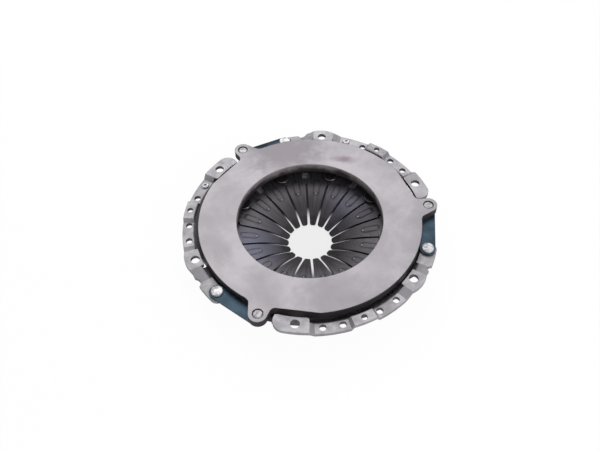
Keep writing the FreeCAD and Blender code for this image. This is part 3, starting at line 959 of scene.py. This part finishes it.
@dataclass(frozen=True)
class DiaphragmSpring(SpringShape):
    """The diaphragm spring, which tilts about its fulcrum as the ring moves.

    One plate is pressed whole and then parted at the fulcrum circle: the fingers inside it ride
    on the cover, and outside it the rim is parted into one sector for each finger.
    Columns are a finger's mesh lines, as shares of its half width, and the steps are its rows.
    """

    node: str = "diaphragm_spring"
    risen_share: float = 0.55
    ridge_reach: float = 0.007
    columns: Tuple[float, ...] = (0.0, 0.1, 0.19, 0.26, 0.33, 0.42, 0.58, 0.79, 1.0)
    row_step: float = 0.0013
    last_row_step: float = 1.5
    corner_steps: Tuple[float, ...] = (0.0, 0.06, 0.2, 0.45, 0.7, 1.0)
    window_steps: Tuple[float, ...] = (0.0, 0.08, 0.3, 0.6, 1.0)
    rim_rows: int = 5
    window_clearance: float = 1e-5
    doubles: float = 2e-6
    smallest_edge: float = 4e-5
    edge_width: float = 0.0002
    edge_segments: int = 2
    edge_limit: float = 50.0
    sharp: float = 40.0

    def build(self) -> List[bpy.types.Object]:
        """Makes the spring's parts and ties the fingers to the cover.

        Returns:
            The fingers, and then the sectors of the rim.
        """
        _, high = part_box(self.node)
        level = self.level(self.fulcrum_radius(), high.z)
        plate = self._plate(high.z)
        fingers = self._part(plate, "spring_fingers", lambda place: self._sector(place) is None)
        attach(fingers, Body.COVER.value)
        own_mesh(fingers)
        made = [fingers]
        for number in range(self.fingers):
            part = self._part(plate, f"spring_rim_{number + 1}",
                              lambda place, wanted=number: self._sector(place) == wanted)
            turn = self.middle_line(number)
            outward = Vector((math.cos(turn), math.sin(turn), 0.0))
            start = outward * self.fulcrum_radius()
            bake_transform(part)
            made.append(part)
        for part in made:
            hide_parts(self.node)
        bpy.data.objects.remove(plate)
        return made

    def _plate(self, rim_level: float) -> bpy.types.Object:
        """Makes the whole plate with its thickness and rounded edges.

        Args:
            rim_level: Level of the upper surface at the rim.

        Returns:
            The plate's object.
        """
        shape = bmesh.new()
        for number in range(self.fingers):
            self._finger(shape, self.middle_line(number), rim_level)
        bmesh.ops.remove_doubles(shape, verts=shape.verts, dist=self.doubles)
        plate = MeshWorks.make("spring_plate", shape, TemperedSpringSteel(shape=self).make())
        solid = plate.modifiers.new("thickness", "SOLIDIFY")
        solid.thickness = self.thickness
        solid.offset = -1.0
        MeshWorks.apply_modifiers(plate, self.sharp)
        MeshWorks.clean(plate, self.smallest_edge)
        MeshWorks.bevelled(plate, self.edge_width, self.edge_segments, self.edge_limit)
        MeshWorks.apply_modifiers(plate, self.sharp)
        MeshWorks.clean(plate, self.smallest_edge / 2)
        return plate

    def _finger(self, shape: bmesh.types.BMesh, centre: float, rim_level: float) -> None:
        """Adds the upper side of one finger with its share of the rim.

        Args:
            shape: The mesh to add to.
            centre: Angle of the finger's middle line, in radians.
            rim_level: Level of the upper surface at the rim.
        """
        shares = [-s for s in reversed(self.columns[1:])] + list(self.columns)
        previous: List[bmesh.types.BMVert] = []
        for radius in self._rows():
            half = math.pi / self.fingers - math.asin(self.gap(radius) / radius)
            row = []
            for share in shares:
                turn = share * half
                level = self.level(radius, rim_level) + self.bead(radius, radius * math.sin(turn))
                spot = (radius * math.cos(centre + turn), radius * math.sin(centre + turn), level)
                row.append(shape.verts.new(spot))
            for i in range(len(previous) - 1):
                shape.faces.new((previous[i], row[i], row[i + 1], previous[i + 1]))
            previous = row

    def _rows(self) -> List[float]:
        """Lays out the mesh's rows, closer together round the corners.

        Returns:
            Their radii.
        """
        found = [self.tip_radius + self.corner * share for share in self.corner_steps]
        while found[-1] + self.last_row_step * self.row_step < self.window_inner:
            found.append(found[-1] + self.row_step)
        found.append(self.window_inner - self.window_clearance)
        found += [self.window_inner + self.window_corner * share for share in self.window_steps]
        found.append(self.fulcrum_radius())
        found += [self.window_outer - self.window_corner * share for share in reversed(self.window_steps)]
        found.append(self.window_outer + self.window_clearance)
        rim = self.rim_radius - self.window_outer
        found += [self.window_outer + rim * (i + 1) / self.rim_rows for i in range(self.rim_rows)]
        return found

    def _sector(self, place: Vector) -> Optional[int]:
        """Number of the rim's sector that a point lies in.

        Args:
            place: The point.

        Returns:
            The number, from 0, or None for a point inside the fulcrum circle.
        """
        if math.hypot(place.x, place.y) < self.fulcrum_radius():
            return None
        turns = (math.atan2(place.y, place.x) - self.phase) / math.tau
        return round(turns * self.fingers) % self.fingers

    def _part(self, plate: bpy.types.Object, name: str,
              wanted: Callable[[Vector], bool]) -> bpy.types.Object:
        """Copies some of the plate's faces and closes the cuts.

        Args:
            plate: The whole plate.
            name: Name of the part.
            wanted: Says whether a face with this middle belongs to the part.

        Returns:
            The part's object.
        """
        shape = bmesh.new()
        shape.from_mesh(plate.data)
        others = [face for face in shape.faces if not wanted(face.calc_center_median())]
        bmesh.ops.delete(shape, geom=others, context="FACES")
        cuts = [edge for edge in shape.edges if edge.is_boundary]
        bmesh.ops.holes_fill(shape, edges=cuts, sides=0)
        part = MeshWorks.make(name, shape, plate.data.materials[0])
        MeshWorks.shade(part, self.sharp)
        return part


@dataclass(frozen=True)
class StrapPacks:
    """The leaves of the strap packs, which bend between the cover and the ring's lugs."""

    stations: int = 14
    doubles: float = 1e-6
    flat: float = 1.0
    edge_width: float = 0.00015
    edge_segments: int = 1
    edge_limit: float = 60.0
    sharp: float = 40.0

    def build(self, nodes: Dict[str, bpy.types.Object]) -> List[bpy.types.Object]:
        """Makes every leaf.

        Args:
            nodes: The frame's nodes by name.

        Returns:
            The leaves.
        """
        material = BluedStrip().make()
        return [self._leaf(nodes, arm, leaf, material)
                for arm in range(1, ARMS + 1) for leaf in range(1, LEAVES + 1)]

    def _leaf(self, nodes: Dict[str, bpy.types.Object], arm: int, leaf: int,
              material: bpy.types.Material) -> bpy.types.Object:
        """Makes one leaf from its node, cut across at stations along its length.

        Args:
            nodes: The frame's nodes by name.
            arm: Number of the arm, from 1.
            leaf: Number of the leaf, from 1.
            material: Material of the leaf.

        Returns:
            The leaf.
        """
        node = f"strap_{arm}_leaf_{leaf}"
        start = middle(f"strap_cover_rivet_{arm}")
        end = middle(f"strap_lug_rivet_{arm}")
        start.z = end.z = middle(node).z
        shape = bmesh.new()
        shape.from_mesh(nodes[node].data)
        bmesh.ops.remove_doubles(shape, verts=shape.verts, dist=self.doubles)
        bmesh.ops.dissolve_limit(shape, angle_limit=math.radians(self.flat), verts=shape.verts,
                                 edges=shape.edges)
        run = end - start
        for station in range(1, self.stations):
            cut = start + run * (station / self.stations)
            everything = shape.verts[:] + shape.edges[:] + shape.faces[:]
            bmesh.ops.bisect_plane(shape, geom=everything, plane_co=cut, plane_no=run.normalized())
        made = MeshWorks.make(f"leaf_{arm}_{leaf}", shape, material)
        MeshWorks.bevelled(made, self.edge_width, self.edge_segments, self.edge_limit)
        MeshWorks.apply_modifiers(made, self.sharp)
        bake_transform(made)
        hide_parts(node)
        return made


@dataclass(frozen=True)
class PhotoView:
    """Where the photograph was taken from, in metres and degrees, and its lens in millimetres."""

    distance: float = 0.6738
    elevation: float = 51.20
    roll: float = -2.09
    azimuth: float = -5.1
    target: Point = (-0.01032, -0.01052, 0.0044)
    lens: float = 39.67
    sensor: float = 36.0
    nearest: float = 0.01
    farthest: float = 20.0

    def make(self) -> bpy.types.Object:
        """Makes the camera.

        Returns:
            The camera's object.
        """
        rise = math.radians(self.elevation)
        tilt = math.radians(self.roll)
        ahead = Vector((0.0, math.cos(rise), -math.sin(rise)))
        level = Vector((1.0, 0.0, 0.0))
        upward = level.cross(ahead)
        right = level * math.cos(tilt) + upward * math.sin(tilt)
        up = upward * math.cos(tilt) - level * math.sin(tilt)
        stand = Matrix((right, up, -ahead)).transposed().to_4x4()
        stand.translation = Vector(self.target) - ahead * self.distance
        data = bpy.data.cameras.new("photo_camera")
        data.lens = self.lens
        data.sensor_width = self.sensor
        data.clip_start = self.nearest
        data.clip_end = self.farthest
        camera = bpy.data.objects.new("photo_camera", data)
        bpy.context.scene.collection.objects.link(camera)
        camera.matrix_world = Matrix.Rotation(math.radians(self.azimuth), 4, "Z") @ stand
        bpy.context.scene.camera = camera
        return camera


@dataclass(frozen=True)
class SoftLamp:
    """A square lamp that points at the part: place and side in metres, power in watts."""

    name: str
    place: Point
    side: float
    power: float

    def make(self) -> None:
        """Adds the lamp to the scene."""
        data = bpy.data.lights.new(self.name, "AREA")
        data.shape = "SQUARE"
        data.size = self.side
        data.energy = self.power
        lamp = bpy.data.objects.new(self.name, data)
        bpy.context.scene.collection.objects.link(lamp)
        lamp.location = self.place
        lamp.rotation_mode = "QUATERNION"
        lamp.rotation_quaternion = (-Vector(self.place)).to_track_quat("-Z", "Y")


@dataclass(frozen=True)
class Studio:
    """The pale floor, the even light and the lamps.

    The sheen is a bright part of the room that only reflections show. The floor glows in the
    camera's eye outside the part's shade and, less so, in the hole between the fingertips.
    """

    lamps: Tuple[SoftLamp, ...] = (
        SoftLamp("back_softbox", (-0.05, 0.75, 0.95), 0.9, 5.0),
        SoftLamp("front_fill", (0.60, -0.90, 0.75), 0.45, 5.0),
    )
    room: str = "#fdfdff"
    ambient: float = 0.62
    sheen_towards: Point = (0.34, 0.60, 0.72)
    sheen: Band = Band(0.76, 0.99, 0.30, 1.10)
    floor_size: float = 12.0
    floor_paint: str = "#9a999b"
    glow_colour: str = "#ffffff"
    glow: float = 1.12
    glow_share: float = 0.85
    mirrored_share: float = 0.6
    shade_centre: Point = (0.0012, 0.0139, 0.0)
    outside: Band = Band(0.086, 0.092)
    hole: Band = Band(0.031, 0.051, 0.80, 0.0)

    def build(self) -> None:
        """Makes the whole studio."""
        self._world()
        self._floor()
        for lamp in self.lamps:
            lamp.make()

    def _world(self) -> None:
        """Lights everything evenly, and looks white where it is seen."""
        world = bpy.data.worlds.new("studio")
        bpy.context.scene.world = world
        graph = Graph(world)
        path = graph.add("LightPath", {})
        towards = graph.add("TexCoord", {}).outputs["Generated"]
        facing = graph.add("VectorMath", {0: towards, 1: Vector(self.sheen_towards).normalized()},
                           operation="DOT_PRODUCT").outputs["Value"]
        reflected = graph.add("Mix", {0: path.outputs["Is Glossy Ray"], 2: self.ambient,
                                      3: self.sheen.on(graph, facing)})
        strength = graph.add("Mix", {0: path.outputs["Is Camera Ray"], 2: reflected, 3: 1.0})
        light = graph.add("Background", {"Color": self.room, "Strength": strength})
        graph.add("OutputWorld", {"Surface": light})

    def _floor(self) -> None:
        """Lays the floor under the part's lowest point."""
        low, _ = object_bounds()
        shape = bmesh.new()
        bmesh.ops.create_grid(shape, x_segments=1, y_segments=1, size=self.floor_size / 2)
        floor = MeshWorks.make("floor", shape, self._floor_material())
        floor.location.z = low.z
        floor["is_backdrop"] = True

    def _floor_material(self) -> bpy.types.Material:
        """Makes a near white floor that takes the part's shadow and is clear from below.

        Returns:
            The material.
        """
        material = bpy.data.materials.new("floor_white")
        graph = Graph(material)
        flat = graph.add("VectorMath", {0: graph.place(), 1: (1.0, 1.0, 0.0)}, operation="MULTIPLY")
        outside = self.outside.on(graph, graph.away_from(self.shade_centre, flat))
        radius, _, _ = graph.polar()
        lit = graph.add("Math", {0: outside, 1: self.hole.on(graph, radius)}, operation="MAXIMUM")
        path = graph.add("LightPath", {})
        mirrored = graph.add("Math", {0: path.outputs["Is Glossy Ray"], 1: self.mirrored_share},
                             operation="MULTIPLY")
        seen = graph.add("Math", {0: path.outputs["Is Camera Ray"], 1: mirrored}, operation="MAXIMUM")
        seen_lit = graph.add("Math", {0: seen, 1: lit}, operation="MULTIPLY")
        share = graph.add("Math", {0: seen_lit, 1: self.glow_share}, operation="MULTIPLY")
        matt = graph.add("BsdfDiffuse", {"Color": self.floor_paint})
        glow = graph.add("Emission", {"Color": self.glow_colour, "Strength": self.glow})
        top = graph.add("MixShader", {0: share, 1: matt, 2: glow})
        behind = graph.add("NewGeometry", {}).outputs["Backfacing"]
        clear = graph.add("Math", {0: behind, 1: path.outputs["Is Shadow Ray"]}, operation="MAXIMUM")
        floor = graph.add("MixShader", {0: clear, 1: top, 2: graph.add("BsdfTransparent", {})})
        graph.add("OutputMaterial", {"Surface": floor})
        return material


def main() -> None:
    """Builds the clutch and its studio, and reports each piece."""
    logging.basicConfig(level=logging.INFO)
    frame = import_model()
    bpy.context.scene.view_settings.view_transform = "Standard"
    nodes = frame["nodes"]
    pieces = RigidPieces().dress(nodes) + DiaphragmSpring().build() + StrapPacks().build(nodes)
    for piece in pieces:
        LOG.info("%s: %s, %d faces", piece.name, piece.data.materials[0].name, len(piece.data.polygons))
    Studio().build()
    PhotoView().make()


if __name__ == "__main__":
    main()
